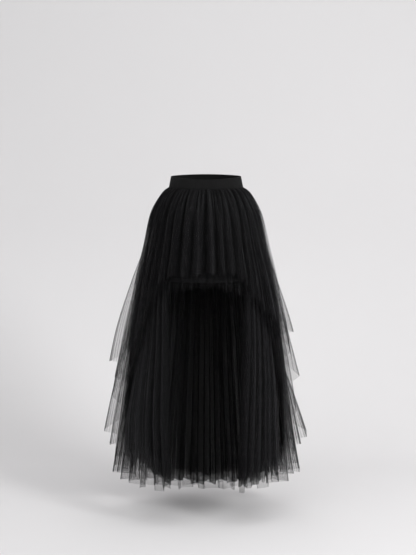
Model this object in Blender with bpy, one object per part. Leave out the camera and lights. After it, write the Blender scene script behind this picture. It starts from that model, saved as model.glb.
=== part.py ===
"""High-low tulle tutu skirt: a wide elastic band, a short opaque lining and four gathered tulle layers.

Metres, +Z up. The front faces -Y. The origin is the centre of the waist, at half the band's height.
Angles run round the skirt from the front, positive towards +X.
A drop is a distance below the band's lower edge.
"""

import math
from collections import namedtuple

import bmesh
import bpy
from mathutils import Vector

# Waistband
BAND_HEIGHT = 0.035
BAND_THICKNESS = 0.0025
BAND_TOP_SIDE = 0.1135
BAND_TOP_DEPTH = 0.0895
BAND_FOOT_SIDE = 0.1205
BAND_FOOT_DEPTH = 0.0960
BAND_COLUMNS = 56
# The waist line leans forwards: its front hangs this much below its sides, and its back as much above.
WAIST_DIP = 0.006
WAIST_DIP_FADES_AT = 0.25

# Cloth
WALL = 0.0010
SEAM_GAP = 0.0003
FIRST_ROW = -BAND_HEIGHT / 2 - SEAM_GAP

# The top layer's form by drop: half-width, depth in front and depth behind at the bottoms of its flutes,
# how far its flutes stand out, how far an inner layer's pleats stand out, and the air between two layers.
Section = namedtuple("Section", "drop side front back flute pleat air")
SECTIONS = [
    Section(0.000, 0.1205, 0.0960, 0.0960, 0.0000, 0.0000, 0.0009),
    Section(0.006, 0.1260, 0.1010, 0.1010, 0.0040, 0.0004, 0.0010),
    Section(0.020, 0.1370, 0.1120, 0.1130, 0.0070, 0.0010, 0.0010),
    Section(0.045, 0.1500, 0.1250, 0.1270, 0.0090, 0.0018, 0.0011),
    Section(0.100, 0.1660, 0.1380, 0.1430, 0.0120, 0.0030, 0.0012),
    Section(0.200, 0.1850, 0.1550, 0.1660, 0.0170, 0.0050, 0.0014),
    Section(0.300, 0.2060, 0.1710, 0.1920, 0.0220, 0.0070, 0.0018),
    Section(0.450, 0.2310, 0.1810, 0.2250, 0.0280, 0.0100, 0.0026),
    Section(0.600, 0.2440, 0.1830, 0.2500, 0.0290, 0.0120, 0.0030),
    Section(0.800, 0.2570, 0.1830, 0.2760, 0.0300, 0.0130, 0.0030),
    Section(0.950, 0.2650, 0.1830, 0.2930, 0.0300, 0.0130, 0.0030),
    Section(1.080, 0.2700, 0.1830, 0.3040, 0.0300, 0.0130, 0.0030),
]

# Each layer's hem by angle, as the length of the cloth's fall below the band.
Hem = namedtuple("Hem", "angle top second train")
HEMS = [
    Hem(-180, 1.066, 1.048, 1.068),
    Hem(-150, 1.056, 1.030, 1.052),
    Hem(-130, 1.018, 0.990, 1.014),
    Hem(-113, 0.956, 0.925, 0.962),
    Hem(-97, 0.808, 0.835, 0.944),
    Hem(-82, 0.555, 0.640, 0.940),
    Hem(-65, 0.500, 0.395, 0.944),
    Hem(-50, 0.325, 0.352, 0.956),
    Hem(-36, 0.283, 0.333, 0.968),
    Hem(-18, 0.268, 0.318, 0.970),
    Hem(0, 0.274, 0.308, 0.970),
    Hem(18, 0.266, 0.318, 0.970),
    Hem(36, 0.288, 0.333, 0.968),
    Hem(52, 0.368, 0.345, 0.956),
    Hem(64, 0.425, 0.372, 0.944),
    Hem(76, 0.452, 0.470, 0.940),
    Hem(88, 0.610, 0.650, 0.938),
    Hem(100, 0.812, 0.800, 0.944),
    Hem(113, 0.954, 0.915, 0.960),
    Hem(130, 1.018, 0.985, 1.012),
    Hem(150, 1.054, 1.026, 1.050),
    Hem(180, 1.066, 1.048, 1.068),
]
LINING_FALL = 0.300

# The top layer's flutes, by the angle of each ridge. A kick is how much further than its neighbours
# a ridge stands out at its hem, as where the steep hem at the sides falls in points.
Flute = namedtuple("Flute", "angle kick")
TOP_FLUTES = [
    Flute(-174, 0.008), Flute(-165, 0.006), Flute(-156, 0.014), Flute(-147, 0.004), Flute(-138, 0.016),
    Flute(-129.5, 0.012), Flute(-121, 0.008), Flute(-113, 0.046), Flute(-105, 0.016), Flute(-97, 0.052),
    Flute(-89.5, 0.014), Flute(-82.5, 0.042), Flute(-76, 0.010), Flute(-69, 0.012), Flute(-62, 0.008),
    Flute(-54.5, 0.004), Flute(-46, 0.000), Flute(-37, 0.002), Flute(-22.5, 0.000), Flute(-9, 0.003),
    Flute(7, 0.000), Flute(16.5, 0.002), Flute(27.5, 0.000), Flute(37.5, 0.003), Flute(50.5, 0.004),
    Flute(61.5, 0.010), Flute(69, 0.014), Flute(76.5, 0.034), Flute(82.5, 0.008), Flute(88.5, 0.028),
    Flute(94.5, 0.012), Flute(100.5, 0.054), Flute(107, 0.016), Flute(113.5, 0.038), Flute(121, 0.006),
    Flute(129, 0.012), Flute(138, 0.016), Flute(147, 0.004), Flute(156, 0.012), Flute(165, 0.006),
    Flute(174, 0.010),
]
KICK_STARTS_AT = 0.22
# Places across one flute, from ridge to ridge, and how far out each stands, as shares.
Rib = namedtuple("Rib", "across out")
FLUTE_RIBS = [
    Rib(0.00, 1.00),
    Rib(0.14, 0.84),
    Rib(0.31, 0.32),
    Rib(0.50, 0.08),
    Rib(0.69, 0.32),
    Rib(0.86, 0.84),
]

# The inner layers, outermost first: pleats round the layer, half the angle left open in front at the waist
# and at the hem, the hem that it follows, how much shorter it is cut and where its uneven spacing starts.
Inner = namedtuple("Inner", "name pleats open_at_waist open_at_hem hem shorter shift")
INNER_LAYERS = [
    Inner("tulle_second_layer", 44, 0, 0, "second", 0.000, 0.3),
    Inner("tulle_train_outer", 36, 52, 38, "train", 0.000, 1.9),
    Inner("tulle_train_inner", 32, 54, 41, "train", 0.016, 4.1),
]
LINING_PLEATS = 18
LINING_PLEAT_SHARE = 0.5

TULLE_COLOUR = (0.012, 0.012, 0.014, 1.0)
LINING_COLOUR = (0.006, 0.006, 0.007, 1.0)
BAND_COLOUR = (0.016, 0.016, 0.017, 1.0)


def smooth_value(rows, key, name, at):
    """The named column of a table at a place along its key column, on a smooth curve through its rows."""
    places = [getattr(row, key) for row in rows]
    values = [getattr(row, name) for row in rows]
    at = min(max(at, places[0]), places[-1])
    i = min(sum(place <= at for place in places), len(places) - 1) - 1
    width = places[i + 1] - places[i]

    def slope(k):
        before, after = max(k - 1, 0), min(k + 1, len(places) - 1)
        return (values[after] - values[before]) / (places[after] - places[before])

    t = (at - places[i]) / width
    start = values[i] * (1 + 2 * t) * (1 - t) ** 2 + slope(i) * width * t * (1 - t) ** 2
    end = values[i + 1] * t * t * (3 - 2 * t) - slope(i + 1) * width * t * t * (1 - t)
    return start + end


def section(name, drop):
    return smooth_value(SECTIONS, "drop", name, drop)


def oval(angle, side, front, back):
    """Distance from the middle to an oval whose front and back halves differ in depth."""
    depth = front if math.cos(angle) > 0 else back
    return 1 / math.hypot(math.sin(angle) / side, math.cos(angle) / depth)


def waist_lift(angle, drop):
    return -WAIST_DIP * math.cos(angle) * max(0.0, 1 - drop / WAIST_DIP_FADES_AT)


def place(angle, radius, drop):
    return Vector((
        radius * math.sin(angle),
        -radius * math.cos(angle),
        FIRST_ROW - drop + waist_lift(angle, drop),
    ))


def base_radius(angle, drop, layers_in):
    """Radius at the bottom of the pleats, so many layers in from the top one."""
    radius = oval(angle, section("side", drop), section("front", drop), section("back", drop))
    return radius - layers_in * (WALL + section("air", drop) + section("pleat", drop))


def hem_drop(angle, column):
    degrees = (math.degrees(angle) + 180) % 360 - 180
    return smooth_value(HEMS, "angle", column, degrees)


def spread_rows(yoke, rows_below, fall):
    """Drops of a column's points: fixed ones in the yoke, then even ones down to the hem."""
    step = (fall - yoke[-1]) / rows_below
    return [*yoke, *(yoke[-1] + step * (k + 1) for k in range(rows_below))]


def grid_mesh(name, columns, is_ring):
    """A mesh through columns of points, each from the top to the bottom."""
    across, down = len(columns), len(columns[0])
    mesh = bmesh.new()
    bmesh.ops.create_grid(mesh, x_segments=across - (not is_ring), y_segments=down - 1, size=1)
    grid = sorted(mesh.verts, key=lambda v: (round(v.co.x, 5), -round(v.co.y, 5)))
    for i, vert in enumerate(grid):
        column, row = divmod(i, down)
        vert.co = columns[column % across][row]
    if is_ring:
        bmesh.ops.remove_doubles(mesh, verts=mesh.verts, dist=1e-6)
    bmesh.ops.recalc_face_normals(mesh, faces=mesh.faces)
    point_outwards(mesh)
    data = bpy.data.meshes.new(name)
    mesh.to_mesh(data)
    mesh.free()
    return data


def point_outwards(mesh):
    """Turns the faces so that they look away from the skirt's middle."""
    outwards = sum(
        face.normal.x * face.calc_center_median().x + face.normal.y * face.calc_center_median().y
        for face in mesh.faces
    )
    if outwards < 0:
        bmesh.ops.reverse_faces(mesh, faces=mesh.faces)


def linked_object(name, data, colour, roughness):
    made = bpy.data.objects.new(name, data)
    bpy.context.scene.collection.objects.link(made)
    data.materials.append(cloth_material(name, colour, roughness))
    data.shade_smooth()
    return made


def cloth_object(name, columns, is_ring, colour, roughness):
    """A wall of cloth whose outer side goes through columns of points, each from the waist to the hem."""
    made = linked_object(name, grid_mesh(name, columns, is_ring), colour, roughness)
    wall = made.modifiers.new("wall", "SOLIDIFY")
    wall.thickness = WALL
    wall.offset = -1
    wall.use_even_offset = True
    return made


def cloth_material(name, colour, roughness):
    material = bpy.data.materials.new(name)
    material.use_nodes = True
    shader = material.node_tree.nodes["Principled BSDF"]
    shader.inputs["Base Color"].default_value = colour
    shader.inputs["Roughness"].default_value = roughness
    shader.inputs["Metallic"].default_value = 0.0
    return material


def make_band():
    """The elastic band, a plain ring that widens a little towards its lower edge."""
    columns = []
    for i in range(BAND_COLUMNS):
        angle = math.tau * i / BAND_COLUMNS
        top = oval(angle, BAND_TOP_SIDE, BAND_TOP_DEPTH, BAND_TOP_DEPTH)
        foot = oval(angle, BAND_FOOT_SIDE, BAND_FOOT_DEPTH, BAND_FOOT_DEPTH)
        corners = [
            (top, BAND_HEIGHT),
            (foot, 0),
            (foot - BAND_THICKNESS, 0),
            (top - BAND_THICKNESS, BAND_HEIGHT),
        ]
        lift = Vector((0, 0, SEAM_GAP))
        loop = [place(angle, radius, 0) + Vector((0, 0, height)) + lift for radius, height in corners]
        columns.append([*loop, loop[0]])
    linked_object("waistband", grid_mesh("waistband", columns, True), BAND_COLOUR, 0.8)


def top_layer_column(angle, out, kick):
    """A column of the top layer, which stands out by that share of a flute, and of its ridge's kick."""
    points = []
    fall = hem_drop(angle, "top")
    for drop in spread_rows([0, 0.006, 0.02, 0.06], 5, fall):
        kicked = kick * max(0.0, drop - KICK_STARTS_AT) / max(fall - KICK_STARTS_AT, 0.1)
        radius = base_radius(angle, drop, 0) + out * (section("flute", drop) + kicked)
        points.append(place(angle, radius, drop))
    return points


def make_top_layer():
    columns = []
    for i, flute in enumerate(TOP_FLUTES):
        after = TOP_FLUTES[(i + 1) % len(TOP_FLUTES)]
        width = (after.angle - flute.angle) % 360
        for rib in FLUTE_RIBS:
            kick = flute.kick if rib.across < 0.5 else after.kick
            angle = math.radians(flute.angle + width * rib.across)
            columns.append(top_layer_column(angle, rib.out, kick))
    return cloth_object("tulle_top_layer", columns, True, TULLE_COLOUR, 0.9)


def uneven(share, shift):
    """A share of the way round, moved a little so that the pleats are unevenly spaced."""
    slow = 0.008 * math.sin(3 * math.tau * share + shift)
    quick = 0.004 * math.sin(7 * math.tau * share + 2 * shift)
    return share + slow + quick


def angle_round(share, half_opening):
    """The angle a share of the way round a layer that is open in front by twice that many degrees."""
    return math.radians(half_opening + (360 - 2 * half_opening) * share)


def pleat_strength(share, shift):
    return 0.78 + 0.22 * math.sin(5 * math.tau * share + shift)


def make_inner_layer(inner, layers_in):
    """An inner tulle layer in plain pleats, a ridge and a groove each. The train's are open in front."""
    is_ring = inner.open_at_waist == 0
    count = 2 * inner.pleats
    start, end = uneven(0, inner.shift), uneven(1, inner.shift)
    columns = []
    for i in range(count if is_ring else count + 1):
        share = (uneven(i / count, inner.shift) - start) / (end - start)
        out = pleat_strength(i / count, inner.shift) * (i % 2)
        hem_angle = angle_round(share, inner.open_at_hem)
        fall = hem_drop(hem_angle, inner.hem) - inner.shorter
        points = []
        for drop in spread_rows([0, 0.02, 0.06], 4, fall):
            opening = inner.open_at_waist + (inner.open_at_hem - inner.open_at_waist) * drop / fall
            angle = angle_round(share, opening)
            radius = base_radius(angle, drop, layers_in) + out * section("pleat", drop)
            points.append(place(angle, radius, drop))
        columns.append(points)
    return cloth_object(inner.name, columns, is_ring, TULLE_COLOUR, 0.9)


def make_lining(layers_in):
    """The short opaque lining, with a level hem and soft pleats."""
    count = 2 * LINING_PLEATS
    columns = []
    for i in range(count):
        angle = math.tau * i / count
        out = LINING_PLEAT_SHARE * (i % 2)
        columns.append([
            place(angle, base_radius(angle, drop, layers_in) + out * section("pleat", drop), drop)
            for drop in spread_rows([0, 0.03], 2, LINING_FALL)
        ])
    return cloth_object("lining", columns, True, LINING_COLOUR, 0.6)


def main():
    for old in list(bpy.data.objects):
        bpy.data.objects.remove(old)
    make_band()
    make_top_layer()
    for layers_in, inner in enumerate(INNER_LAYERS, start=1):
        make_inner_layer(inner, layers_in)
    make_lining(len(INNER_LAYERS) + 1)


main()
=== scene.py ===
"""Looks of the high-low tulle tutu skirt, laid out as a Blender add-on and run as a script.

Metres, +Z up. The front faces -Y and the origin is the centre of the waist, at half the band's height.
Angles run round the skirt from the front, positive towards +X, and a drop is a distance below the band.
A share runs from 0 to 1 round a layer. The form tables are those of the part's source.
"""

import math
from collections import namedtuple

import bmesh
import bpy
import numpy as np
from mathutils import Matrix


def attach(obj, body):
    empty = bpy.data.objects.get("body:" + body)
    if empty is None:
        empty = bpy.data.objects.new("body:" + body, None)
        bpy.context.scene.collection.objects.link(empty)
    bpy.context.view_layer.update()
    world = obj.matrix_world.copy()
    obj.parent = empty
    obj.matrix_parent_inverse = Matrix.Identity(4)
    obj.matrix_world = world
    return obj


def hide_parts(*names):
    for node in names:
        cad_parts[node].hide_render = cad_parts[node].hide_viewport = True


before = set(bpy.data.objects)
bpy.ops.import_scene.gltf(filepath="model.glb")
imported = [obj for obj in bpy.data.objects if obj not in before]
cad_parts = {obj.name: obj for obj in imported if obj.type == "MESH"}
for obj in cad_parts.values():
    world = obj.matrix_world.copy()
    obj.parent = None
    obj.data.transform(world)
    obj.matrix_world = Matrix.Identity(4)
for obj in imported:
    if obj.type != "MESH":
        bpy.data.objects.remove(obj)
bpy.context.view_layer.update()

bl_info = {
    "name": "High-low tulle tutu skirt",
    "version": (1, 0, 0),
    "blender": (4, 5, 0),
    "location": "3D View > Sidebar > Tutu skirt",
    "description": "Dresses the skirt's solids with net, lining and elastic, and sets the stage",
    "category": "Object",
}

# Form of the solids, repeated from the part's source
BAND_HEIGHT = 0.035
BAND_THICKNESS = 0.0025
BAND_TOP_SIDE = 0.1135
BAND_TOP_DEPTH = 0.0895
BAND_FOOT_SIDE = 0.1205
BAND_FOOT_DEPTH = 0.0960
WAIST_DIP = 0.006
WAIST_DIP_FADES_AT = 0.25
BAND_FRONT_DIP = 0.0045
BAND_SOFT_EDGE = 0.0007
WALL = 0.0010
LAYER_GAP = 0.0003
FIRST_ROW = -BAND_HEIGHT / 2 - LAYER_GAP

Section = namedtuple("Section", "drop side front back flute pleat air")
SECTIONS = [
    Section(0.000, 0.1205, 0.0960, 0.0960, 0.0000, 0.0000, 0.0009),
    Section(0.006, 0.1260, 0.1010, 0.1010, 0.0040, 0.0004, 0.0010),
    Section(0.020, 0.1370, 0.1120, 0.1130, 0.0070, 0.0010, 0.0010),
    Section(0.045, 0.1500, 0.1250, 0.1270, 0.0090, 0.0018, 0.0011),
    Section(0.100, 0.1660, 0.1380, 0.1430, 0.0120, 0.0030, 0.0012),
    Section(0.200, 0.1850, 0.1550, 0.1660, 0.0170, 0.0050, 0.0014),
    Section(0.300, 0.2060, 0.1710, 0.1920, 0.0220, 0.0070, 0.0018),
    Section(0.450, 0.2310, 0.1810, 0.2250, 0.0280, 0.0100, 0.0026),
    Section(0.600, 0.2440, 0.1830, 0.2500, 0.0290, 0.0120, 0.0030),
    Section(0.800, 0.2570, 0.1830, 0.2760, 0.0300, 0.0130, 0.0030),
    Section(0.950, 0.2650, 0.1830, 0.2930, 0.0300, 0.0130, 0.0030),
    Section(1.080, 0.2700, 0.1830, 0.3040, 0.0300, 0.0130, 0.0030),
]
LONGEST_FALL = SECTIONS[-1].drop

Hem = namedtuple("Hem", "angle top second train")
HEMS = [
    Hem(-180, 1.066, 1.048, 1.068),
    Hem(-150, 1.056, 1.030, 1.052),
    Hem(-130, 1.018, 0.990, 1.014),
    Hem(-113, 0.956, 0.925, 0.962),
    Hem(-97, 0.808, 0.835, 0.944),
    Hem(-82, 0.555, 0.640, 0.940),
    Hem(-65, 0.500, 0.395, 0.944),
    Hem(-50, 0.325, 0.352, 0.956),
    Hem(-36, 0.283, 0.333, 0.968),
    Hem(-18, 0.268, 0.318, 0.970),
    Hem(0, 0.274, 0.308, 0.970),
    Hem(18, 0.266, 0.318, 0.970),
    Hem(36, 0.288, 0.333, 0.968),
    Hem(52, 0.368, 0.345, 0.956),
    Hem(64, 0.425, 0.372, 0.944),
    Hem(76, 0.452, 0.470, 0.940),
    Hem(88, 0.610, 0.650, 0.938),
    Hem(100, 0.812, 0.800, 0.944),
    Hem(113, 0.954, 0.915, 0.960),
    Hem(130, 1.018, 0.985, 1.012),
    Hem(150, 1.054, 1.026, 1.050),
    Hem(180, 1.066, 1.048, 1.068),
]
LINING_FALL = 0.300
LINING_PLEATS = 18

# A kick is how much further than its neighbours a ridge stands out at its hem, and its run is the
# height over which it gets there. Seven narrow ridges in the wings are the scene's own.
Flute = namedtuple("Flute", "angle kick run", defaults=[0.30])
TOP_FLUTES = [
    Flute(-174, 0.008), Flute(-165, 0.006), Flute(-156, 0.014), Flute(-147, 0.004), Flute(-138, 0.022),
    Flute(-129.5, 0.028), Flute(-121, 0.036), Flute(-117, 0.038, 0.30), Flute(-113, 0.046, 0.36),
    Flute(-109, 0.032, 0.30), Flute(-105, 0.024), Flute(-101, 0.036, 0.30), Flute(-97, 0.052, 0.36),
    Flute(-89.5, 0.026), Flute(-86, 0.024), Flute(-82.5, 0.042, 0.34), Flute(-76, 0.010),
    Flute(-69, 0.012), Flute(-62, 0.008), Flute(-54.5, 0.004), Flute(-46, 0.000), Flute(-37, 0.002),
    Flute(-22.5, 0.000), Flute(-9, 0.003), Flute(7, 0.000), Flute(16.5, 0.002), Flute(27.5, 0.000),
    Flute(37.5, 0.003), Flute(50.5, 0.004), Flute(61.5, 0.010), Flute(69, 0.014),
    Flute(76.5, 0.034, 0.25), Flute(82.5, 0.008), Flute(88.5, 0.028, 0.22), Flute(94.5, 0.018),
    Flute(100.5, 0.054, 0.20), Flute(104, 0.034, 0.22), Flute(107, 0.016), Flute(110, 0.028, 0.22),
    Flute(113.5, 0.038, 0.22), Flute(117, 0.028, 0.22), Flute(121, 0.022), Flute(129, 0.020),
    Flute(138, 0.016), Flute(147, 0.004), Flute(156, 0.012), Flute(165, 0.006), Flute(174, 0.010),
]
# Pinches of the gathering thread, round the waist, and the drops where the gathers start to fade and end
PINCHES = 72
GATHERS_FADE_AT = 0.014
GATHERS_END_AT = 0.154
# How much nearer the cloth hangs just under the band, where its weight pulls it down
SHOULDER_DROOP = 0.0035
# How much nearer the denser nets hang at the sides above the knee
SIDE_TUCK = 0.010
# How far the hems wave, hang lower at the ridges, and step from panel to panel
HEM_WAVE = 0.004
RIDGE_FALL = 0.008
PANEL_STEP = 0.006
INNER_PANEL_STEP = 0.008
# How sharp the ridges and the grooves are, below 1
FLUTE_SHARPNESS = 0.985
MINOR_SHARPNESS = 0.95
# Smaller folds between the top layer's ridges, and how far the finest ones reach from side to side
MINOR_FOLDS = 41
FINE_FOLD_DEPTH = 0.003

# Gathers just under the band, and fine wrinkles down the whole fall, by drop: how far each stands out
Crinkle = namedtuple("Crinkle", "drop gather minor wrinkle crease")
CRINKLES = [
    Crinkle(0.000, 0.0000, 0.0000, 0.0003, 0.0002),
    Crinkle(0.008, 0.0030, 0.0010, 0.0006, 0.0004),
    Crinkle(0.025, 0.0050, 0.0020, 0.0008, 0.0005),
    Crinkle(0.060, 0.0055, 0.0030, 0.0010, 0.0006),
    Crinkle(0.120, 0.0035, 0.0045, 0.0011, 0.0007),
    Crinkle(0.220, 0.0008, 0.0060, 0.0012, 0.0007),
    Crinkle(0.400, 0.0000, 0.0070, 0.0012, 0.0006),
    Crinkle(0.700, 0.0000, 0.0070, 0.0012, 0.0005),
    Crinkle(1.080, 0.0000, 0.0070, 0.0012, 0.0005),
]

# Each layer of net, with how many layers lie outside it. The inner ones also have pleats, half an
# opening in front at the waist and at the hem, in degrees, and a shift of the uneven pleats.
Layer = namedtuple("Layer", "node layers_in hem pleats open_at_waist open_at_hem shift", defaults=[0] * 4)
TOP = Layer("tulle_top_layer", 0, "top")
SECOND = Layer("tulle_second_layer", 1, "second", 44, 0, 0, 0.3)
TRAIN_OUTER = Layer("tulle_train_outer", 2, "train", 36, 52, 38, 1.9)
TRAIN_INNER = Layer("tulle_train_inner", 3, "train", 32, 54, 41, 4.1)

# Each ply of a layer. The cut is its width all round, its greatest length and its flat area. An inset is
# how much of the air inside the solid's outer side it takes, a swell how much of the flutes or pleats.
# It is cut shorter in front and behind. A kick is how much of the flutes' kicks it takes.
Ply = namedtuple(
    "Ply", "layer name width length area inset swell short_front short_back seed kick", defaults=[0.0]
)
TOP_PLIES = [
    Ply(TOP, "top_net_outer", 3.60, 1.07, 2.44, 0.0, 1.00, 0.000, 0.000, 11, kick=1.0),
    Ply(TOP, "top_net_under", 2.20, 1.06, 1.43, 0.5, 0.40, 0.006, 0.022, 12, kick=0.75),
]
INNER_PLIES = [
    Ply(SECOND, "second_net_outer", 1.90, 1.02, 1.22, 0.0, 1.00, 0.000, 0.034, 21),
    Ply(SECOND, "second_net_under", 1.80, 1.00, 1.07, 0.5, 0.80, 0.034, 0.058, 22),
    Ply(TRAIN_OUTER, "train_net_outer", 1.60, 1.04, 1.52, 0.0, 1.00, 0.000, 0.038, 31),
    Ply(TRAIN_OUTER, "train_net_outer_under", 1.50, 1.02, 1.37, 0.5, 0.80, 0.012, 0.060, 32),
    Ply(TRAIN_INNER, "train_net_inner", 1.45, 1.04, 1.37, 0.0, 1.00, 0.016, 0.035, 41),
    Ply(TRAIN_INNER, "train_net_inner_under", 1.35, 1.01, 1.21, 0.5, 0.80, 0.030, 0.070, 42),
]

# How much further out the inner nets reach on each side below the knee, as shares. Below 0 is nearer
LEFT_FLARE = 0.135
RIGHT_FLARE = -0.005
# How much shorter the inner nets are cut at the sides and a little behind them
SIDE_CUT = 0.030
# How much shorter the inner nets' under plies are cut on the left, and their outer plies by a third of it
LEFT_CUT = 0.160
# How much shorter a ply without kicks would be cut in the wings
WING_CUT = 0.22
# How many plies more the cloth counts as where it is folded over
FOLD_THICKNESS = 4.2

# Width of the lining's cut, and the places of the band's pattern round it and on its inner side
LINING_WIDTH = 1.15
BAND_PATTERN_WIDTH = 0.68
BAND_INNER_PATTERN = 0.05

# Fineness of the meshes, as columns round and rows down
TOP_GRID = (1641, 48)
INNER_GRID = (1201, 38)
LINING_GRID = (361, 26)
BAND_COLUMNS = 241

# Each layer's net, from the outermost in: how much lighter or darker the same tulle is painted in that
# layer, as painted light and shade, and how much of the light its threads and its holes stop
Tone = namedtuple("Tone", "name shade thread_cover hole_cover")
TONES = [
    Tone("tulle top", 1.0, 0.50, 0.05),
    Tone("tulle second", 0.75, 0.50, 0.07),
    Tone("tulle train", 1.2, 0.65, 0.20),
    Tone("tulle inside the train", 1.15, 0.85, 0.45),
]

# Camera and stage, fitted to the photograph's frame of 416 by 555
CAMERA_PLACE = (0.0065, -4.5, 0.05)
CAMERA_TILT = math.radians(4.6)
CAMERA_LENS = 89.8
FLOOR_HEIGHT = -1.108
COVE_STARTS_AT = 0.8
COVE_RADIUS = 0.9
COVE_HEIGHT = 9.0
STAGE_HALF_WIDTH = 9.0
STAGE_FRONT = -14
WORLD_COLOUR = (0.86, 0.86, 0.87, 1)
WORLD_STRENGTH = 0.43
BACKDROP_COLOUR = (0.80, 0.80, 0.81, 1)
BACKDROP_STRENGTH = 0.88

Light = namedtuple("Light", "name power size spot target")
LIGHTS = [
    Light("key", 132, 1.6, (2.9, -3.6, 1.5), (0, 0, -0.8)),
    Light("fill", 38, 3.0, (-3.0, -4.6, 0.3), (0, 0, -0.8)),
    Light("top", 66, 3.8, (0.2, -1.5, 2.6), (0, 0, -1.1)),
]


class SkirtSizes(bpy.types.PropertyGroup):
    """Sizes of the cloth."""

    net_pitch: bpy.props.FloatProperty(
        name="Net pitch",
        description="Distance between the middles of two neighbouring holes of the net",
        default=0.0018,
        unit="LENGTH",
    )
    rib_pitch: bpy.props.FloatProperty(
        name="Elastic rib pitch",
        description="Distance between two ribs along the elastic band",
        default=0.0016,
        unit="LENGTH",
    )
    lining_thickness: bpy.props.FloatProperty(
        name="Lining thickness",
        description="Thickness of the lining cloth",
        default=0.0008,
        unit="LENGTH",
    )


class SkirtColours(bpy.types.PropertyGroup):
    """Colours of the cloth and the stage."""

    tulle: bpy.props.FloatVectorProperty(
        name="Tulle",
        description="Colour of the net's threads",
        default=(0.0088, 0.0088, 0.0094),
        subtype="COLOR",
    )
    lining: bpy.props.FloatVectorProperty(
        name="Lining",
        description="Colour of the lining cloth",
        default=(0.0040, 0.0040, 0.0044),
        subtype="COLOR",
    )
    band: bpy.props.FloatVectorProperty(
        name="Band",
        description="Colour of the elastic band",
        default=(0.0073, 0.0073, 0.0075),
        subtype="COLOR",
    )
    stage: bpy.props.FloatVectorProperty(
        name="Stage",
        description="Colour of the floor and the cove behind the skirt",
        default=(0.80, 0.79, 0.795),
        subtype="COLOR",
    )


def ramp(at, start, end):
    """From 0 at the start to 1 at the end, and level beyond both."""
    return np.clip((at - start) / (end - start), 0, 1)


def mound(at, middle, reach):
    """1 at the middle, fading to 0 over its reach on both sides."""
    return np.exp(-((at - middle) / reach) ** 2)


def smooth_curve(rows, key, name, at):
    """The named column of a table at places along its key column, on a smooth curve through its rows."""
    places = np.array([getattr(row, key) for row in rows], float)
    values = np.array([getattr(row, name) for row in rows], float)
    order = np.arange(len(places))
    before = np.maximum(order - 1, 0)
    after = np.minimum(order + 1, len(places) - 1)
    slopes = (values[after] - values[before]) / (places[after] - places[before])
    at = np.clip(at, places[0], places[-1])
    i = np.clip(np.searchsorted(places, at, "right") - 1, 0, len(places) - 2)
    width = places[i + 1] - places[i]
    t = (at - places[i]) / width
    start = values[i] * (1 + 2 * t) * (1 - t) ** 2 + slopes[i] * width * t * (1 - t) ** 2
    end = values[i + 1] * t * t * (3 - 2 * t) - slopes[i + 1] * width * t * t * (1 - t)
    return start + end


def section(name, drop):
    """A named size of the solids at each drop."""
    return smooth_curve(SECTIONS, "drop", name, drop)


def crinkle(name, drop):
    """How far the named small folds stand out at each drop."""
    return smooth_curve(CRINKLES, "drop", name, drop)


def oval(angle, side, front, back):
    """How far an oval's edge is from its middle, with one depth in front and another behind."""
    depth = np.where(np.cos(angle) > 0, front, back)
    return 1 / np.hypot(np.sin(angle) / side, np.cos(angle) / depth)


def waist_lift(angle, drop):
    """How far a place is raised, since the waist dips in front and rises behind."""
    return -WAIST_DIP * np.cos(angle) * np.maximum(0.0, 1 - drop / WAIST_DIP_FADES_AT)


def place(angle, radius, drop):
    """Points at angles, distances from the middle and drops."""
    angle, radius, drop = np.broadcast_arrays(angle, radius, drop)
    height = FIRST_ROW - drop + waist_lift(angle, drop)
    return np.stack([radius * np.sin(angle), -radius * np.cos(angle), height], -1)


def side_tuck(angle, drop):
    """How much nearer the denser nets hang than the outermost one, at the sides above the knee."""
    return SIDE_TUCK * np.sin(angle) ** 4 * ramp(drop, 0, 0.08) * ramp(drop, 0.62, 0.40)


def base_radius(angle, drop, layers_in):
    """How far from the middle a layer hangs, without its flutes and pleats."""
    radius = oval(angle, section("side", drop), section("front", drop), section("back", drop))
    radius = radius - SHOULDER_DROOP * mound(drop, 0.048, 0.030)
    if layers_in:
        radius = radius - side_tuck(angle, drop)
    return radius - layers_in * (WALL + section("air", drop) + section("pleat", drop))


def hem_drop(angle, column):
    """The drop of a layer's hem at each angle."""
    degrees = (np.degrees(angle) + 180) % 360 - 180
    return smooth_curve(HEMS, "angle", column, degrees)


def ripple(share, seed, fewest, most):
    """An uneven ripple round a layer, mostly between -1 and 1, of fewest to most waves."""
    draws = np.random.default_rng(seed)
    waves = np.arange(fewest, most + 1)
    sizes = draws.normal(size=len(waves))
    starts = draws.uniform(0, math.tau, len(waves))
    total = (sizes * np.cos(math.tau * np.multiply.outer(share, waves) + starts)).sum(-1)
    return total / math.sqrt(2 * (sizes ** 2).sum())


def drifting_ripple(share, seed, fewest, most, travel):
    """A ripple that turns into another one on its way from waist to hem."""
    above = ripple(share, seed, fewest, most)[:, None]
    below = ripple(share, seed + 500, fewest, most)[:, None]
    turn = math.pi / 2 * np.clip(travel, 0, 1)
    return above * np.cos(turn) + below * np.sin(turn)


def panels(turns, sharpness):
    """Flat panels between ridges and grooves, from 0 to 1, with a ridge at each whole turn."""
    return 0.5 + 0.5 * np.arcsin(sharpness * np.cos(math.tau * turns)) / math.asin(sharpness)


def fold_line(turns):
    """Near 1 on the creases of the ridges and grooves, at each half turn, and 0 between them."""
    away = np.abs(2 * turns - np.rint(2 * turns)) / 2
    return mound(away, 0, 0.032)


def groove_shade(turns, share, seed):
    """How deep in shade a place is for the groove next to it, some grooves more than others."""
    away = np.abs(turns - 0.5 - np.rint(turns - 0.5))
    return mound(away, 0, 0.11) * np.clip(0.55 + 0.5 * ripple(share, seed, 8, 40), 0, 1)


def panel_steps(turns, seed):
    """An even draw from -1 to 1 for each panel, which ends at a crease."""
    panel = np.floor(2 * turns + 1e-9).astype(int)
    return np.random.default_rng(seed).uniform(-1, 1, panel.max() + 1)[panel]


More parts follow.
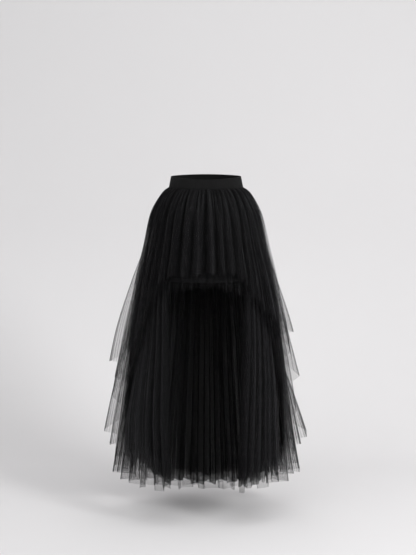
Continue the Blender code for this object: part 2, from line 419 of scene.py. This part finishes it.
def fall_rows(fall, rows):
    """Drops of each column's points, closer together near the waist."""
    travel = np.linspace(0, 1, rows)
    travel = 0.45 * travel + 0.55 * travel ** 2
    return fall[:, None] * travel[None, :]


def cut_short(angle, ply):
    """How much shorter a ply is cut at each angle."""
    behind = (0.5 - 0.5 * np.cos(angle)) ** 2
    return ply.short_front + (ply.short_back - ply.short_front) * behind


def fine_folds(share, drop, seed):
    """Wrinkles and creases down the fall of a net, as distances outwards."""
    travel = drop / LONGEST_FALL
    wrinkles = drifting_ripple(share, seed, 60, 110, travel) * crinkle("wrinkle", drop)
    creases = drifting_ripple(share, seed + 50, 120, 210, travel) * crinkle("crease", drop)
    return wrinkles + creases


def pinches(angle, drop):
    """How deep in a pinch of the gathering thread each place is, uneven and only near the band."""
    draws = np.random.default_rng(17)
    spots = math.tau * (np.arange(PINCHES) + draws.uniform(-0.42, 0.42, PINCHES)) / PINCHES - math.pi
    lengths = draws.uniform(0.025, 0.100, PINCHES)
    depths = draws.uniform(0.3, 1.1, PINCHES)
    widths = draws.uniform(0.016, 0.030, PINCHES)
    slants = draws.normal(0, 0.35, PINCHES)
    deepest = np.zeros(drop.shape)
    for spot, length, depth, width, slant in zip(spots, lengths, depths, widths, slants):
        away = (angle - spot - slant * drop + math.pi) % math.tau - math.pi
        pinch = depth * mound(away, 0, width) * ramp(drop, length, 0) ** 0.7
        deepest = np.maximum(deepest, pinch)
    return deepest


def flutes_at(angle):
    """Turns round the flutes, a ridge at each whole one, with the flute's width, kick and run."""
    ridges = np.array([flute.angle for flute in TOP_FLUTES] + [TOP_FLUTES[0].angle + 360], float)
    kicks = np.array([flute.kick for flute in TOP_FLUTES] + [TOP_FLUTES[0].kick])
    runs = np.array([flute.run for flute in TOP_FLUTES] + [TOP_FLUTES[0].run])
    degrees = (np.degrees(angle) - ridges[0]) % 360 + ridges[0]
    i = np.clip(np.searchsorted(ridges, degrees, "right") - 1, 0, len(TOP_FLUTES) - 1)
    width = ridges[i + 1] - ridges[i]
    across = (degrees - ridges[i]) / width
    nearest = np.where(across < 0.5, i, i + 1)
    return i + across, np.radians(width), kicks[nearest], runs[nearest]


def wing_rich_angles(columns):
    """Angles once round, closer together where the ridges stand out most."""
    evenly = np.linspace(-math.pi, math.pi, 14401)
    density = 1 + 45 * flutes_at(evenly)[2]
    reach = np.concatenate([[0], np.cumsum(density[1:] + density[:-1])])
    return np.interp(np.linspace(0, reach[-1], columns), reach, evenly)


def top_painted_shading(angle, share, drop, fall, turns, step, tuck, minor, fine, pinched):
    """Painted light and shade of the top layer: painted highlights on its ridges, painted shade in its
    grooves, its pinches, just under the band and at its hem, painted light at its sides and on its right
    in front, and a random lighter and darker tone round it.
    """
    near_waist = ramp(drop, GATHERS_END_AT, GATHERS_FADE_AT)
    # Painted shade in the grooves, less towards the sides
    shade = 0.75 * groove_shade(turns, share, 14) * (1 - np.sin(angle) ** 8)
    folds = 0.70 * panels(turns, FLUTE_SHARPNESS) + 0.30 * minor + 0.10 * step - shade
    # Painted light at the sides
    folds = (folds + 0.25 * np.sin(angle) ** 16)[:, None]
    gathers = 1.35 * tuck[:, None] - 0.28
    crest = 0.88 * (folds + 0.85 * near_waist * (gathers - folds)) + 0.12 * (0.5 + fine / FINE_FOLD_DEPTH)
    # Painted shade just under the band
    crest = crest * (0.55 + 0.45 * ramp(drop, 0, 0.03))
    crest = (crest + 0.04 * near_waist) * (1 - 0.9 * np.clip(pinched, 0, 1))
    # Painted shade along the hem
    crest = crest * (1 - 0.45 * mound(drop, fall[:, None], 0.005))
    # Painted light on the right in front, and painted shade on the left in front
    crest = crest * (0.98 + 0.20 * np.sin(angle) * (np.cos(angle) > 0))[:, None]
    return crest * (1 + 0.22 * ripple(share, 19, 6, 20))[:, None]


def top_ply_points(ply, columns, rows):
    """Points of one ply of the top layer, with its share, drop, fall, painted shading and doubled folds.
    """
    angle = wing_rich_angles(columns)
    share = (angle + math.pi) / math.tau
    turns, width, kick, run = flutes_at(angle)
    out = panels(turns, FLUTE_SHARPNESS)
    step = panel_steps(turns, ply.seed)
    fall = hem_drop(angle, "top") - cut_short(angle, ply)
    fall = fall + HEM_WAVE * ripple(share, ply.seed + 9, 12, 40) + RIDGE_FALL * (out - 0.5)
    fall = fall + PANEL_STEP * (1 + (np.cos(angle) < 0)) * step
    fall = fall - WING_CUT * (1 - ply.kick) * np.sin(angle) ** 6
    drop = fall_rows(fall, rows)
    to_hem = fall[:, None] - drop
    kicked = ply.kick * kick[:, None] * ramp(to_hem, run[:, None], 0)
    strength = 1 + 0.22 * ripple(share, ply.seed + 7, 5, 22)[:, None] * ramp(drop, 0, 0.1)
    strength = strength - 0.35 * (fall > 0.6)[:, None] * mound(drop, 0.46, 0.14)
    strength = strength - 0.60 * mound(drop, 0.022, 0.025)
    tuck = panels(2 * turns + 0.3 + 0.35 * ripple(share, 3, 10, 40), MINOR_SHARPNESS)
    gathers = (0.3 + tuck * (1 + 0.4 * ripple(share, 4, 10, 40)))[:, None] * crinkle("gather", drop)
    minor = panels(MINOR_FOLDS * share + 0.9 * ripple(share, ply.seed + 3, 3, 14), MINOR_SHARPNESS)
    minor = minor * np.clip(0.6 + 0.5 * ripple(share, ply.seed + 4, 4, 18), 0, 1.2)
    fine = fine_folds(share, drop, ply.seed)
    pinched = pinches(angle[:, None], drop)
    radius = base_radius(angle[:, None], drop, 0) - ply.inset * section("air", drop)
    radius = radius - 2 * ply.inset * side_tuck(angle[:, None], drop)
    radius = radius + ply.swell * out[:, None] * (section("flute", drop) * strength + kicked)
    radius = radius + ply.swell * (gathers + minor[:, None] * crinkle("minor", drop)) + 0.5 * fine
    radius = radius - 0.4 * pinched * crinkle("gather", drop)
    lean = 0.34 * ripple(share, 8, 5, 24) * (out - 0.5) * width
    wander = 0.016 * ripple(share, 5, 3, 9)
    turned = angle[:, None] + (lean + wander)[:, None] * ramp(drop, 0, 0.25)
    crest = top_painted_shading(angle, share, drop, fall, turns, step, tuck, minor, fine, pinched)
    doubled = fold_line(turns)[:, None] * (1 + 25 * kicked) * ramp(drop, 0, 0.3) + 2 * pinched
    doubled = doubled + 0.35 * ramp(drop, GATHERS_END_AT, GATHERS_FADE_AT)
    return place(turned, radius, drop), share, drop, fall, crest, doubled


def uneven(share, shift):
    """Shares with pleats a little wider in some places than in others."""
    slow = 0.008 * np.sin(3 * math.tau * share + shift)
    quick = 0.004 * np.sin(7 * math.tau * share + 2 * shift)
    return share + slow + quick


def inner_painted_shading(layer, angle, share, drop, turns, step, pleat, minor, fine, pinched):
    """Painted light and shade of an inner layer: painted highlights on its pleats, painted shade in its
    grooves and pinches, painted shadow just under the hem of the layer above it, painted shade inside the
    train towards the back, and painted light on the left.
    """
    folds = 0.20 + 0.36 * pleat + 0.12 * minor + 0.12 * step
    folds = folds - 0.25 * groove_shade(turns + 0.5, share, 15)
    crest = folds[:, None] + 0.07 * (0.5 + fine / FINE_FOLD_DEPTH)
    # Painted shadow of the top layer's hem on the second layer in front
    if layer.hem == "second":
        below = drop - hem_drop(angle, "top")
        in_front = ramp(np.cos(angle), 1 / 2.2, 2 / 2.2)
        crest = crest * (1 - 0.65 * in_front * np.clip(1 - np.abs(below - 0.006) / 0.018, 0, 1))
    # Painted shade inside the train, darkest at the back
    if layer.open_at_waist:
        crest = crest * (0.08 + 0.92 * np.abs(np.sin(angle)) ** 1.4)
    # Painted light on the left side
    to_the_left = np.clip(-np.sin(angle), 0, 1)
    return (crest + 0.30 * to_the_left ** 6) * (1 - 0.8 * np.clip(pinched, 0, 1))


def inner_ply_points(ply, columns, rows):
    """Points of one ply of an inner layer, with its share, drop, fall, painted shading and doubled folds.
    """
    layer = ply.layer
    share = np.linspace(0, 1, columns)
    start, end = uneven(0, layer.shift), uneven(1, layer.shift)
    spaced = (uneven(share, layer.shift) - start) / (end - start)
    turns = layer.pleats * share
    step = panel_steps(turns, ply.seed)
    hem_angle = np.radians(layer.open_at_hem + (360 - 2 * layer.open_at_hem) * spaced)
    fall = hem_drop(hem_angle, layer.hem) - cut_short(hem_angle, ply)
    fall = fall + HEM_WAVE * ripple(share, ply.seed + 9, 12, 40) + INNER_PANEL_STEP * step
    fall = fall - SIDE_CUT * np.sin(hem_angle) ** 2 * ramp(np.cos(hem_angle), 0.25, -0.25)
    to_the_left = np.clip(-np.sin(hem_angle), 0, 1)
    fall = fall - LEFT_CUT * (0.35 + 1.3 * ply.inset) * to_the_left ** 5
    drop = fall_rows(fall, rows)
    opening = layer.open_at_waist + (layer.open_at_hem - layer.open_at_waist) * drop / fall[:, None]
    angle = np.radians(opening + (360 - 2 * opening) * spaced[:, None])
    pleat = panels(turns + 0.5, FLUTE_SHARPNESS)
    minor = panels(1.5 * turns + 0.7 * ripple(share, ply.seed + 3, 3, 14), MINOR_SHARPNESS)
    strength = 0.85 + 0.15 * np.sin(5 * math.tau * share + layer.shift)
    strength = strength + 0.2 * ripple(share, ply.seed + 7, 6, 30)
    fine = fine_folds(share, drop, ply.seed)
    flare = np.where(np.sin(angle) < 0, LEFT_FLARE, RIGHT_FLARE) * np.abs(np.sin(angle))
    radius = base_radius(angle, drop, layer.layers_in) - ply.inset * section("air", drop)
    radius = radius * (1 + flare * ramp(drop, 0.5, 0.75))
    radius = radius + ply.swell * (pleat * strength)[:, None] * section("pleat", drop)
    radius = radius + ply.swell * 0.5 * minor[:, None] * crinkle("minor", drop) + 0.6 * fine
    wander = 0.012 * ripple(share, 6, 3, 9)[:, None] * ramp(drop, 0, 0.3)
    pinched = pinches(angle, drop)
    crest = inner_painted_shading(layer, angle, share, drop, turns, step, pleat, minor, fine, pinched)
    doubled = fold_line(turns)[:, None] * ramp(drop, 0, 0.3) + 2 * pinched
    return place(angle + wander, radius, drop), share, drop, fall, crest, doubled


def grid_mesh(name, points, flat):
    """A mesh through columns of points, each from the top down, and its UV map of places on the cut."""
    across, down = points.shape[:2]
    mesh = bmesh.new()
    mesh.loops.layers.uv.new("cut")
    bmesh.ops.create_grid(mesh, x_segments=across - 1, y_segments=down - 1, size=1)
    data = bpy.data.meshes.new(name)
    mesh.to_mesh(data)
    spots = np.empty(3 * len(data.vertices))
    data.vertices.foreach_get("co", spots)
    spots = spots.reshape(-1, 3)
    column = np.rint((spots[:, 0] + 1) / 2 * (across - 1)).astype(int)
    row = np.rint((1 - spots[:, 1]) / 2 * (down - 1)).astype(int)
    data.vertices.foreach_set("co", points[column, row].ravel())
    corner = np.empty(len(data.loops), dtype=np.int32)
    data.loops.foreach_get("vertex_index", corner)
    data.uv_layers["cut"].data.foreach_set("uv", flat[column, row][corner].ravel())
    return data, column, row


def close_ring(mesh_data):
    """Joins the first and the last column of a ring."""
    mesh = bmesh.new()
    mesh.from_mesh(mesh_data)
    bmesh.ops.remove_doubles(mesh, verts=mesh.verts, dist=1e-6)
    mesh.to_mesh(mesh_data)
    mesh.free()


def linked_object(name, data, material):
    """An object in the scene, smooth and with one material."""
    made = bpy.data.objects.new(name, data)
    bpy.context.scene.collection.objects.link(made)
    data.materials.append(material)
    data.shade_smooth()
    return made


def gather_ratio(points, width):
    """How much wider the cut is than the cloth that hangs, for each row."""
    steps = np.linalg.norm(np.diff(points, axis=0), axis=2).sum(0)
    return np.clip(width / steps, 1.0, 8.0)


def net_object(ply, shape, is_ring):
    """A ply of net through its points, with its painted shading, its creases and how far it is gathered.
    """
    points, share, drop, fall, crest, doubled = shape
    across = ply.width * share[:, None] + 0 * drop
    flat = np.stack([across, fall[:, None] - drop], -1)
    data, column, row = grid_mesh(ply.name, points, flat)
    layers = data.attributes.new("gathered", "FLOAT", "POINT")
    thicker = 1 + FOLD_THICKNESS * doubled[column, row]
    layers.data.foreach_set("value", gather_ratio(points, ply.width)[row] * thicker)
    # Painted light and shade of the folds, kept on the points for the material's colour
    painted_shading_attribute = data.attributes.new("crest", "FLOAT", "POINT")
    painted_shading_attribute.data.foreach_set("value", np.clip(crest, 0, 1)[column, row])
    if is_ring:
        close_ring(data)
    made = linked_object(ply.name, data, net_material(TONES[ply.layer.layers_in]))
    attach(made, "root")
    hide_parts(ply.layer.node)


def add_node(tree, kind, *inputs, **settings):
    """A new node with its settings. Its inputs in order are sockets to link, values to set, or None."""
    made = tree.nodes.new(kind)
    for name, value in settings.items():
        setattr(made, name, value)
    for socket, value in zip(made.inputs, inputs):
        if isinstance(value, bpy.types.NodeSocket):
            tree.links.new(value, socket)
        elif value is not None:
            socket.default_value = value
    return made


def add_math(tree, operation, *inputs):
    """The result of a new maths node."""
    return add_node(tree, "ShaderNodeMath", *inputs, operation=operation).outputs[0]


def new_group(name, inputs, outputs):
    """An empty shader node group with its named sockets, and its input and output nodes."""
    tree = bpy.data.node_groups.new(name, "ShaderNodeTree")
    for label, kind, value in inputs:
        socket = tree.interface.new_socket(label, in_out="INPUT", socket_type=kind)
        if value is not None:
            socket.default_value = value
    for label, kind in outputs:
        tree.interface.new_socket(label, in_out="OUTPUT", socket_type=kind)
    return tree, tree.nodes.new("NodeGroupInput"), tree.nodes.new("NodeGroupOutput")


def net_thread_group():
    """Threads of a hexagonal net, and how much one ply of it covers."""
    name = "net threads"
    if name in bpy.data.node_groups:
        return bpy.data.node_groups[name]
    tree, given, result = new_group(
        name,
        [
            ("Place", "NodeSocketVector", None),
            ("Pitch", "NodeSocketFloat", 0.0018),
            ("Thread cover", "NodeSocketFloat", 0.75),
            ("Hole cover", "NodeSocketFloat", 0.08),
        ],
        [("Threads", "NodeSocketFloat"), ("Cover", "NodeSocketFloat")],
    )
    turns = add_math(tree, "DIVIDE", math.tau, given.outputs["Pitch"])
    scaled = add_node(tree, "ShaderNodeVectorMath", given.outputs["Place"], operation="SCALE")
    tree.links.new(turns, scaled.inputs["Scale"])
    waves = None
    for step in range(3):
        way = math.tau * step / 3
        direction = (math.cos(way), math.sin(way), 0)
        along = add_node(
            tree, "ShaderNodeVectorMath", scaled.outputs[0], direction, operation="DOT_PRODUCT"
        )
        wave = add_math(tree, "COSINE", along.outputs["Value"])
        waves = wave if waves is None else add_math(tree, "ADD", waves, wave)
    threads = add_node(tree, "ShaderNodeMapRange", waves, -0.45, -0.95, 0.0, 1.0)
    threads = threads.outputs[0]
    blotch = add_node(tree, "ShaderNodeTexNoise", given.outputs["Place"], noise_dimensions="3D")
    blotch.inputs["Scale"].default_value = 70.0
    blotch.inputs["Detail"].default_value = 2.0
    blotched = add_node(tree, "ShaderNodeMapRange", blotch.outputs[0], 0.3, 0.7, 0.9, 1.1).outputs[0]
    span = add_math(tree, "SUBTRACT", given.outputs["Thread cover"], given.outputs["Hole cover"])
    covered = add_math(tree, "MULTIPLY_ADD", threads, span, given.outputs["Hole cover"])
    covered = add_math(tree, "MULTIPLY", covered, blotched)
    tree.links.new(threads, result.inputs["Threads"])
    tree.links.new(covered, result.inputs["Cover"])
    return tree


def cloth_tone_group():
    """A colour with soft lighter and darker places, as cloth has."""
    name = "cloth tone"
    if name in bpy.data.node_groups:
        return bpy.data.node_groups[name]
    tree, given, result = new_group(
        name,
        [
            ("Place", "NodeSocketVector", None),
            ("Colour", "NodeSocketColor", None),
            ("Scale", "NodeSocketFloat", 30.0),
            ("Amount", "NodeSocketFloat", 0.3),
        ],
        [("Colour", "NodeSocketColor"), ("Tone", "NodeSocketFloat")],
    )
    noise = add_node(tree, "ShaderNodeTexNoise", given.outputs["Place"])
    tree.links.new(given.outputs["Scale"], noise.inputs["Scale"])
    noise.inputs["Detail"].default_value = 3.0
    centred = add_math(tree, "SUBTRACT", noise.outputs[0], 0.5)
    tone = add_math(tree, "MULTIPLY_ADD", centred, given.outputs["Amount"], 1.0)
    shaded = add_node(tree, "ShaderNodeVectorMath", given.outputs["Colour"], operation="SCALE")
    tree.links.new(tone, shaded.inputs["Scale"])
    tree.links.new(shaded.outputs[0], result.inputs["Colour"])
    tree.links.new(tone, result.inputs["Tone"])
    return tree


def fabric_material(name, colour, roughness, sheen):
    """A new material of cloth, with its node tree and shader."""
    material = bpy.data.materials.new(name)
    material.use_nodes = True
    tree = material.node_tree
    shader = tree.nodes["Principled BSDF"]
    shader.inputs["Base Color"].default_value = (*colour, 1)
    shader.inputs["Roughness"].default_value = roughness
    shader.inputs["Sheen Weight"].default_value = sheen
    shader.inputs["Sheen Roughness"].default_value = 0.5
    shader.inputs["Specular IOR Level"].default_value = 0.08
    return material, tree, shader


def toned_colour(tree, shader, place_socket, colour, scale, amount):
    """The group of soft places on the shader's colour."""
    tone = add_node(tree, "ShaderNodeGroup", node_tree=cloth_tone_group())
    tree.links.new(place_socket, tone.inputs["Place"])
    tone.inputs["Colour"].default_value = (*colour, 1)
    tone.inputs["Scale"].default_value = scale
    tone.inputs["Amount"].default_value = amount
    tree.links.new(tone.outputs["Colour"], shader.inputs["Base Color"])
    return tone


def net_material(look):
    """Soft net: threads round see-through holes, more covering where it is gathered or seen edge on, its
    colour scaled by the painted light and shade of its folds.
    """
    if look.name in bpy.data.materials:
        return bpy.data.materials[look.name]
    sizes, colours = bpy.context.scene.skirt_sizes, bpy.context.scene.skirt_colours
    material, tree, shader = fabric_material(look.name, colours.tulle, roughness=0.85, sheen=0.01)
    cut = add_node(tree, "ShaderNodeUVMap", uv_map="cut").outputs[0]
    # Painted light and shade of this layer, as a scale on the tulle's own colour
    colour = [look.shade * part for part in colours.tulle]
    tone = toned_colour(tree, shader, cut, colour, scale=45.0, amount=0.8)
    # Painted light and shade: the colour is scaled up on the ridges and down in the grooves by the painted
    # shading kept on the mesh
    crest = add_node(tree, "ShaderNodeAttribute", attribute_name="crest").outputs["Fac"]
    lit = add_math(tree, "MULTIPLY_ADD", add_math(tree, "POWER", crest, 1.05), 2.25, 0.06)
    shaded = add_node(tree, "ShaderNodeVectorMath", tone.outputs["Colour"], operation="SCALE")
    tree.links.new(lit, shaded.inputs["Scale"])
    tree.links.new(shaded.outputs[0], shader.inputs["Base Color"])
    net = add_node(tree, "ShaderNodeGroup", node_tree=net_thread_group())
    tree.links.new(cut, net.inputs["Place"])
    net.inputs["Pitch"].default_value = sizes.net_pitch
    net.inputs["Thread cover"].default_value = look.thread_cover
    net.inputs["Hole cover"].default_value = look.hole_cover
    facing = add_node(tree, "ShaderNodeLayerWeight", 0.5).outputs["Facing"]
    head_on = add_math(tree, "MAXIMUM", add_math(tree, "SUBTRACT", 1.0, facing), 0.22)
    gathered = add_node(tree, "ShaderNodeAttribute", attribute_name="gathered").outputs["Fac"]
    layers = add_math(tree, "DIVIDE", gathered, head_on)
    open_share = add_math(tree, "SUBTRACT", 1.0, net.outputs["Cover"])
    left_open = add_math(tree, "POWER", open_share, layers)
    alpha = add_math(tree, "SUBTRACT", 1.0, left_open)
    tree.links.new(alpha, shader.inputs["Alpha"])
    bump = add_node(tree, "ShaderNodeBump", 0.3, 0.0003)
    tree.links.new(net.outputs["Threads"], bump.inputs["Height"])
    tree.links.new(bump.outputs[0], shader.inputs["Normal"])
    return material


def woven_material(name, colour, roughness, sheen, across_pitch, along_pitch, depth):
    """Opaque cloth of threads both ways, on the piece's own UV map in metres."""
    material, tree, shader = fabric_material(name, colour, roughness, sheen)
    cut = add_node(tree, "ShaderNodeUVMap", uv_map="cut").outputs[0]
    toned_colour(tree, shader, cut, colour, scale=60.0, amount=0.6)
    parts = add_node(tree, "ShaderNodeSeparateXYZ", cut)
    waves = []
    for part, pitch in zip(parts.outputs, (across_pitch, along_pitch)):
        turn = add_math(tree, "MULTIPLY", part, math.tau / pitch)
        waves.append(add_math(tree, "SINE", turn))
    height = add_math(tree, "ADD", *waves)
    bump = add_node(tree, "ShaderNodeBump", 0.6, depth)
    tree.links.new(height, bump.inputs["Height"])
    tree.links.new(bump.outputs[0], shader.inputs["Normal"])
    return material


def one_sided_material(name, colour):
    """A matt stage, with painted shade that makes it a little darker higher up, that is not there when
    seen from behind.
    """
    material, tree, shader = fabric_material(name, colour, roughness=0.9, sheen=0.0)
    spot = add_node(tree, "ShaderNodeTexCoord").outputs["Object"]
    height = add_node(tree, "ShaderNodeSeparateXYZ", spot).outputs[2]
    # Painted shade: the stage's colour falls to 0.8 of itself from the floor up to a height of 1 m
    painted_shade_by_height = add_node(tree, "ShaderNodeMapRange", height, FLOOR_HEIGHT, 1.0, 1.0, 0.80).outputs[0]
    shaded = add_node(tree, "ShaderNodeVectorMath", colour, operation="SCALE")
    tree.links.new(painted_shade_by_height, shaded.inputs["Scale"])
    tree.links.new(shaded.outputs[0], shader.inputs["Base Color"])
    shader.inputs["Specular IOR Level"].default_value = 0.0
    behind = add_node(tree, "ShaderNodeNewGeometry").outputs["Backfacing"]
    clear = add_node(tree, "ShaderNodeBsdfTransparent")
    mixed = add_node(tree, "ShaderNodeMixShader", behind, shader.outputs[0], clear.outputs[0])
    tree.links.new(mixed.outputs[0], tree.nodes["Material Output"].inputs["Surface"])
    return material


def area_light(light):
    """A round soft light that points at its target."""
    data = bpy.data.lights.new(light.name, "AREA")
    data.energy = light.power
    data.shape = "DISK"
    data.size = light.size
    made = bpy.data.objects.new(light.name, data)
    bpy.context.scene.collection.objects.link(made)
    made.location = light.spot
    away = made.location - type(made.location)(light.target)
    made.rotation_euler = away.to_track_quat("Z", "Y").to_euler()


def band_outline():
    """The band's section from its outer side round its foot and inner side, as distances in and up."""
    soft = BAND_SOFT_EDGE
    corner = 0.3 * soft
    inside = BAND_THICKNESS
    outer = [(0.0, height) for height in np.linspace(BAND_HEIGHT - soft, soft, 9)]
    foot = [(corner, corner), (soft, 0.0), (inside - soft, 0.0), (inside - corner, corner)]
    inner = [(inside, height) for height in np.linspace(soft, BAND_HEIGHT - soft, 9)]
    top = [(inside - corner, BAND_HEIGHT - corner), (inside - soft, BAND_HEIGHT)]
    top += [(soft, BAND_HEIGHT), (corner, BAND_HEIGHT - corner)]
    return [*outer, *foot, *inner, *top, outer[0]]


class SKIRT_OT_stage(bpy.types.Operator):
    """Makes the camera, the lights, the floor and the cove behind the skirt"""

    bl_idname = "skirt.make_stage"
    bl_label = "Make the stage"

    def execute(self, context):
        camera_data = bpy.data.cameras.new("camera")
        camera_data.lens = CAMERA_LENS
        camera = bpy.data.objects.new("camera", camera_data)
        context.scene.collection.objects.link(camera)
        camera.location = CAMERA_PLACE
        camera.rotation_euler = (math.pi / 2 - CAMERA_TILT, 0, 0)
        context.scene.camera = camera
        context.scene.view_settings.view_transform = "Standard"
        context.scene.cycles.transparent_max_bounces = 24

        bend = np.linspace(0, math.pi / 2, 25)
        near = np.linspace(STAGE_FRONT, COVE_STARTS_AT, 12)[:-1]
        curve = COVE_STARTS_AT + COVE_RADIUS * np.sin(bend)
        depth = np.concatenate([near, curve, curve[-1:]])
        height = np.concatenate([0 * near, COVE_RADIUS - COVE_RADIUS * np.cos(bend), [COVE_HEIGHT]])
        side = np.linspace(-STAGE_HALF_WIDTH, STAGE_HALF_WIDTH, 9)
        points = np.zeros((len(side), len(depth), 3))
        points[:, :, 0] = side[:, None]
        points[:, :, 1] = depth[::-1][None, :]
        points[:, :, 2] = FLOOR_HEIGHT + height[::-1][None, :]
        data, _, _ = grid_mesh("cove", points, points[:, :, :2])
        material = one_sided_material("stage", context.scene.skirt_colours.stage)
        cove = linked_object("cove", data, material)

        world = context.scene.world or bpy.data.worlds.new("World")
        context.scene.world = world
        world.use_nodes = True
        tree = world.node_tree
        lighting = tree.nodes["Background"]
        lighting.inputs["Color"].default_value = WORLD_COLOUR
        lighting.inputs["Strength"].default_value = WORLD_STRENGTH
        backdrop = add_node(tree, "ShaderNodeBackground", BACKDROP_COLOUR, BACKDROP_STRENGTH)
        seen = add_node(tree, "ShaderNodeLightPath").outputs["Is Camera Ray"]
        mixed = add_node(tree, "ShaderNodeMixShader", seen, lighting.outputs[0], backdrop.outputs[0])
        tree.links.new(mixed.outputs[0], tree.nodes["World Output"].inputs["Surface"])
        for light in LIGHTS:
            area_light(light)
        return {"FINISHED"}


class SKIRT_OT_band(bpy.types.Operator):
    """Makes the ribbed elastic band"""

    bl_idname = "skirt.make_band"
    bl_label = "Make the elastic band"

    def execute(self, context):
        angle = np.linspace(-math.pi, math.pi, BAND_COLUMNS)
        top = oval(angle, BAND_TOP_SIDE, BAND_TOP_DEPTH, BAND_TOP_DEPTH)
        foot = oval(angle, BAND_FOOT_SIDE, BAND_FOOT_DEPTH, BAND_FOOT_DEPTH)
        share = (angle + math.pi) / math.tau
        wave = 0.0004 * ripple(share, 91, 6, 20)
        dip = BAND_FRONT_DIP * np.clip(np.cos(angle), 0, 1) ** 2
        outline = band_outline()
        points = np.zeros((BAND_COLUMNS, len(outline), 3))
        flat = np.zeros((BAND_COLUMNS, len(outline), 2))
        for k, (inwards, height) in enumerate(outline):
            rise = height / BAND_HEIGHT
            radius = foot + (top - foot) * rise - inwards + wave * (1 - rise)
            points[:, k] = place(angle, radius, 0)
            points[:, k, 2] += LAYER_GAP + height - dip * rise
            flat[:, k, 0] = share * BAND_PATTERN_WIDTH
            flat[:, k, 1] = height + (0 if inwards < BAND_THICKNESS / 2 else BAND_INNER_PATTERN)
        data, _, _ = grid_mesh("elastic_band", points, flat)
        close_ring(data)
        colours, sizes = context.scene.skirt_colours, context.scene.skirt_sizes
        material = woven_material(
            "ribbed elastic",
            colours.band,
            roughness=0.85,
            sheen=0.02,
            across_pitch=0.0011,
            along_pitch=sizes.rib_pitch,
            depth=0.00025,
        )
        made = linked_object("elastic_band", data, material)
        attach(made, "root")
        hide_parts("waistband")
        return {"FINISHED"}


class SKIRT_OT_lining(bpy.types.Operator):
    """Makes the short opaque lining"""

    bl_idname = "skirt.make_lining"
    bl_label = "Make the lining"

    def execute(self, context):
        columns, rows = LINING_GRID
        share = np.linspace(0, 1, columns)
        angle = math.tau * share
        drop = fall_rows(np.full(columns, LINING_FALL), rows)
        out = 0.5 - 0.5 * np.cos(math.tau * LINING_PLEATS * share)
        radius = base_radius(angle[:, None], drop, 4) + 0.5 * out[:, None] * section("pleat", drop)
        wrinkles = drifting_ripple(share, 71, 30, 70, drop / LINING_FALL)
        radius = radius + 0.4 * wrinkles * crinkle("wrinkle", drop)
        points = place(angle[:, None], radius, drop)
        flat = np.stack([share[:, None] * LINING_WIDTH + 0 * drop, LINING_FALL - drop], -1)
        data, _, _ = grid_mesh("lining_cloth", points, flat)
        close_ring(data)
        colours, sizes = context.scene.skirt_colours, context.scene.skirt_sizes
        material = woven_material(
            "soft lining",
            colours.lining,
            roughness=0.6,
            sheen=0.01,
            across_pitch=0.0006,
            along_pitch=0.0006,
            depth=0.0001,
        )
        made = linked_object("lining_cloth", data, material)
        shell = made.modifiers.new("thickness", "SOLIDIFY")
        shell.thickness = sizes.lining_thickness
        shell.offset = -1
        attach(made, "root")
        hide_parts("lining")
        return {"FINISHED"}


class SKIRT_OT_top_nets(bpy.types.Operator):
    """Makes the plies of the fluted top layer"""

    bl_idname = "skirt.make_top_nets"
    bl_label = "Make the top layer's nets"

    def execute(self, context):
        for ply in TOP_PLIES:
            net_object(ply, top_ply_points(ply, *TOP_GRID), is_ring=True)
        return {"FINISHED"}


class SKIRT_OT_inner_nets(bpy.types.Operator):
    """Makes the plies of the second layer and of the train"""

    bl_idname = "skirt.make_inner_nets"
    bl_label = "Make the inner layers' nets"

    def execute(self, context):
        for ply in INNER_PLIES:
            is_ring = ply.layer.open_at_waist == 0
            net_object(ply, inner_ply_points(ply, *INNER_GRID), is_ring)
        return {"FINISHED"}


class SKIRT_PT_panel(bpy.types.Panel):
    """Lists the pieces of the skirt"""

    bl_idname = "SKIRT_PT_panel"
    bl_label = "Tutu skirt"
    bl_space_type = "VIEW_3D"
    bl_region_type = "UI"
    bl_category = "Tutu skirt"

    def draw(self, context):
        for group in (context.scene.skirt_sizes, context.scene.skirt_colours):
            for name in group.__annotations__:
                self.layout.prop(group, name)
        for operator in PIECE_OPERATORS:
            self.layout.operator(operator.bl_idname)


PIECE_OPERATORS = (
    SKIRT_OT_stage,
    SKIRT_OT_band,
    SKIRT_OT_lining,
    SKIRT_OT_top_nets,
    SKIRT_OT_inner_nets,
)
CLASSES = (SkirtSizes, SkirtColours, *PIECE_OPERATORS, SKIRT_PT_panel)


def register():
    for made in CLASSES:
        bpy.utils.register_class(made)
    bpy.types.Scene.skirt_sizes = bpy.props.PointerProperty(type=SkirtSizes)
    bpy.types.Scene.skirt_colours = bpy.props.PointerProperty(type=SkirtColours)


def unregister():
    del bpy.types.Scene.skirt_colours
    del bpy.types.Scene.skirt_sizes
    for made in reversed(CLASSES):
        bpy.utils.unregister_class(made)


def main():
    register()
    bpy.ops.skirt.make_stage()
    bpy.ops.skirt.make_band()
    bpy.ops.skirt.make_lining()
    bpy.ops.skirt.make_top_nets()
    bpy.ops.skirt.make_inner_nets()


if __name__ == "__main__":
    main()
